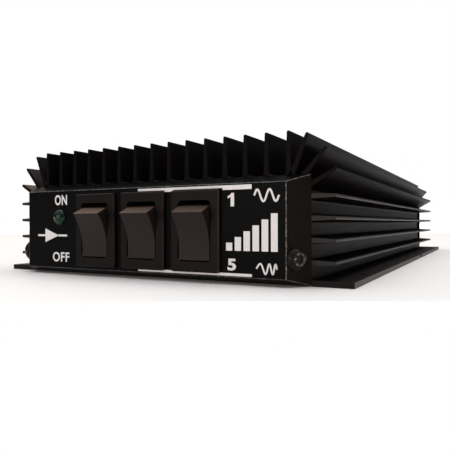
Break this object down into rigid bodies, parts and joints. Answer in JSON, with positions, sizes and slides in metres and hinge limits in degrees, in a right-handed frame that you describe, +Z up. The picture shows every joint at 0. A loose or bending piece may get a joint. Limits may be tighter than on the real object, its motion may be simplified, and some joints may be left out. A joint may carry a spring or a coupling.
{
  "type": "radio frequency linear amplifier",
  "caption": "Mobile linear amplifier for a radio: finned extruded housing on a flanged base plate, pressed panels, rocker switches, status light, rear coaxial sockets.",
  "frame": {"origin": "centre of the base plate's underside", "axes": "+Z up out of the deck, +Y to the rear where the sockets are, +X to the right seen from the front"},
  "size_m": [0.117, 0.2333, 0.0386],
  "materials": {
    "black_anodised": "satin black anodised extrusion",
    "black_plate": "semi-gloss black paint on steel",
    "panel_black": "satin black enamel on steel, worn at the bends",
    "dark_screw": "blackened steel with bright wear",
    "zinc_steel": "zinc-plated steel",
    "switch_black": "satin black moulded plastic",
    "rocker_brown": "smooth dark brown-grey moulded plastic",
    "contact_brass": "bright brass",
    "spring_steel": "spring wire",
    "tinned_blades": "tinned brass blades",
    "wire_red": "wire insulation",
    "light_green": "clear green tinted lens, not lit",
    "clip_black": "black moulded clip",
    "tinned_wire": "tinned copper",
    "board_green": "green solder mask",
    "white_ceramic": "ceramic and gilt flange",
    "ferrite": "dark ferrite",
    "copper_coil": "enamelled copper",
    "relay_black": "black relay cover",
    "can_blue": "blue sleeve",
    "disc_ochre": "ochre coating",
    "resistor_body": "pale beige coating",
    "epoxy_black": "black epoxy",
    "trimmer_blue": "blue moulded case",
    "trimmer_rotor": "pale moulded rotor",
    "nickel": "bright nickel plate",
    "socket_white": "white insulator",
    "black_rubber": "black rubber"
  },
  "bodies": {
    "housing": {"heatsink": "black_anodised", "base_plate": "black_plate", "base_screws": "dark_screw", "front_panel": "panel_black", "rear_panel": "panel_black", "panel_brackets": "zinc_steel", "front_panel_screws": "dark_screw", "rear_panel_screws": "dark_screw", "switch_body_1": "switch_black", "switch_body_2": "switch_black", "switch_body_3": "switch_black", "switch_terminals_1": "tinned_blades", "switch_terminals_2": "tinned_blades", "switch_terminals_3": "tinned_blades", "switch_wires": "wire_red", "light_lens": "light_green", "light_clip": "clip_black", "light_leads": "tinned_wire", "circuit_board": "board_green", "board_spacers": "contact_brass", "board_screws": "zinc_steel", "rf_transistor_1": "white_ceramic", "rf_transistor_2": "white_ceramic", "transistor_screws": "zinc_steel", "input_transformer": "ferrite", "output_transformer": "ferrite", "transformer_tubes": "contact_brass", "filter_coils": "copper_coil", "input_relay": "relay_black", "output_relay": "relay_black", "smoothing_capacitors": "can_blue", "disc_capacitors": "disc_ochre", "attenuator_resistors": "resistor_body", "supply_choke": "copper_coil", "bias_regulator": "epoxy_black", "regulator_screw": "zinc_steel", "bias_trimmer_body": "trimmer_blue", "supply_tabs": "tinned_blades", "input_socket_shell": "nickel", "output_socket_shell": "nickel", "socket_insulators": "socket_white", "socket_contacts": "contact_brass", "socket_nuts": "nickel", "socket_washers": "zinc_steel", "socket_wires": "tinned_wire", "power_lead_grommet": "black_rubber"},
    "rocker_1": {"rocker_1": "rocker_brown", "rocker_plunger_1": "contact_brass", "plunger_spring_1": "spring_steel"},
    "contact_1": {"contact_lever_1": "contact_brass"},
    "rocker_2": {"rocker_2": "rocker_brown", "rocker_plunger_2": "contact_brass", "plunger_spring_2": "spring_steel"},
    "contact_2": {"contact_lever_2": "contact_brass"},
    "rocker_3": {"rocker_3": "rocker_brown", "rocker_plunger_3": "contact_brass", "plunger_spring_3": "spring_steel"},
    "contact_3": {"contact_lever_3": "contact_brass"},
    "trimmer": {"bias_trimmer_rotor": "trimmer_rotor"}
  },
  "joints": [
    {"name": "rocker_1_tilt", "type": "hinge", "parent": "housing", "child": "rocker_1", "pos_m": [-0.0153, -0.1042, 0.0135], "axis": [-1, 0, 0], "range_deg": [0, 32]},
    {"name": "contact_1_tilt", "type": "hinge", "parent": "housing", "child": "contact_1", "pos_m": [-0.0153, -0.09585, 0.0135], "axis": [-1, 0, 0], "range_deg": [-16, 0]},
    {"name": "rocker_2_tilt", "type": "hinge", "parent": "housing", "child": "rocker_2", "pos_m": [0.0017, -0.1042, 0.0135], "axis": [-1, 0, 0], "range_deg": [0, 32]},
    {"name": "contact_2_tilt", "type": "hinge", "parent": "housing", "child": "contact_2", "pos_m": [0.0017, -0.09585, 0.0135], "axis": [-1, 0, 0], "range_deg": [-16, 0]},
    {"name": "rocker_3_tilt", "type": "hinge", "parent": "housing", "child": "rocker_3", "pos_m": [0.0187, -0.1042, 0.0135], "axis": [-1, 0, 0], "range_deg": [0, 32]},
    {"name": "contact_3_tilt", "type": "hinge", "parent": "housing", "child": "contact_3", "pos_m": [0.0187, -0.09585, 0.0135], "axis": [-1, 0, 0], "range_deg": [-16, 0]},
    {"name": "bias_trimmer_turn", "type": "hinge", "parent": "housing", "child": "trimmer", "pos_m": [-0.03, -0.05, 0.015], "axis": [0, 0, 1], "range_deg": [-135, 135]}
  ],
  "couplings": [
    {"joint": "contact_1_tilt", "follows": "rocker_1_tilt", "ratio": -0.5},
    {"joint": "contact_2_tilt", "follows": "rocker_2_tilt", "ratio": -0.5},
    {"joint": "contact_3_tilt", "follows": "rocker_3_tilt", "ratio": -0.5}
  ]
}
